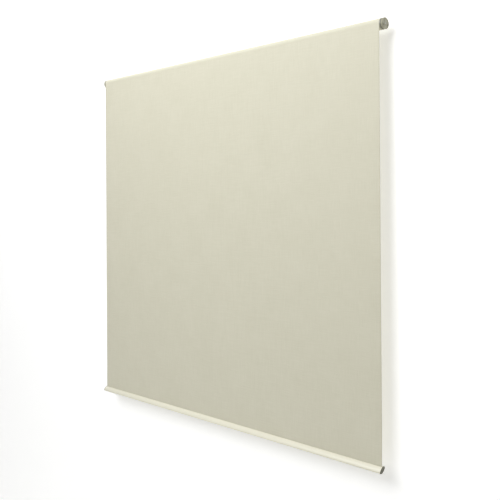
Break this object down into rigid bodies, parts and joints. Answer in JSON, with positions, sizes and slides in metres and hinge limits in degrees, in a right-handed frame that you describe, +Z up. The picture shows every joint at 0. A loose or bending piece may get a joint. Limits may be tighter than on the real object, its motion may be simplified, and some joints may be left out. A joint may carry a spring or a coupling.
{
  "type": "roller blind",
  "caption": "Cordless spring roller blind: plain cloth on a keyed tube between two round end brackets, with an oval bottom bar that rises as the roll turns.",
  "frame": {"origin": "on the roll's axis, halfway between the two end brackets", "axes": "+X along the roll to the right-hand end as seen from the room, -Y towards the room, +Z up"},
  "size_m": [1.6, 0.0545, 1.5],
  "materials": {
    "bracket": "moulded grey plastic, fine satin grain",
    "tube": "extruded, mill finish",
    "cloth": "cream plain-weave polyester, matt, stiffened",
    "plug": "moulded grey plastic",
    "steel": "zinc plated",
    "spring_steel": "drawn spring wire, oiled",
    "dark_plastic": "moulded acetal",
    "white_plastic": "extruded PVC",
    "card": "wound kraft paper",
    "bar": "cream powder coat on extruded aluminium",
    "bar_cap": "moulded dark grey plastic"
  },
  "bodies": {
    "fixed": {"bracket_left": "bracket", "bracket_right": "bracket", "flat_spindle": "steel", "lock_hub": "steel", "hub_circlip": "spring_steel", "spindle_rod": "steel", "spring_ferrule": "dark_plastic", "quiet_sleeve": "card", "rod_bush": "dark_plastic", "torsion_spring": "spring_steel", "cloth_drop": "cloth"},
    "roller": {"roller_tube": "tube", "cloth_key_strip": "white_plastic", "cloth_wound": "cloth", "idler_plug": "plug", "idler_retainer": "dark_plastic", "idler_pin_spring": "spring_steel", "spring_plug": "plug", "bearing_sleeve": "dark_plastic", "pawl_cover": "steel", "pawl_pivot_a": "steel", "pawl_pivot_b": "steel", "spring_anchor": "plug"},
    "idler_pin": {"idler_pin": "steel"},
    "pawl_a": {"pawl_a": "steel"},
    "pawl_b": {"pawl_b": "steel"},
    "bar": {"bottom_bar": "bar", "hem_rod": "white_plastic", "bar_weight": "steel", "bar_cap_left": "bar_cap", "bar_cap_right": "bar_cap"}
  },
  "joints": [
    {"name": "roller_turn", "type": "hinge", "parent": "fixed", "child": "roller", "pos_m": [0, 0, 0], "axis": [-1, 0, 0], "range_deg": [0, 3960], "deforming": ["torsion_spring"]},
    {"name": "bar_lift", "type": "slide", "parent": "fixed", "child": "bar", "axis": [0, 0, 1], "range_m": [0, 1.4], "deforming": ["cloth_drop"]},
    {"name": "idler_pin_push", "type": "slide", "parent": "roller", "child": "idler_pin", "axis": [-1, 0, 0], "range_m": [0, 0.0055], "stiffness_N_per_m": 400, "springref_m": -0.004, "deforming": ["idler_pin_spring"]},
    {"name": "pawl_a_swing", "type": "hinge", "parent": "roller", "child": "pawl_a", "pos_m": [-0.7851, -0.00515, 0.00892], "axis": [-1, 0, 0], "range_deg": [0, 14]},
    {"name": "pawl_b_swing", "type": "hinge", "parent": "roller", "child": "pawl_b", "pos_m": [-0.7851, 0.00515, -0.00892], "axis": [-1, 0, 0], "range_deg": [0, 14]}
  ],
  "couplings": [
    {"joint": "roller_turn", "follows": "bar_lift", "rad_per_m": 49.368}
  ]
}
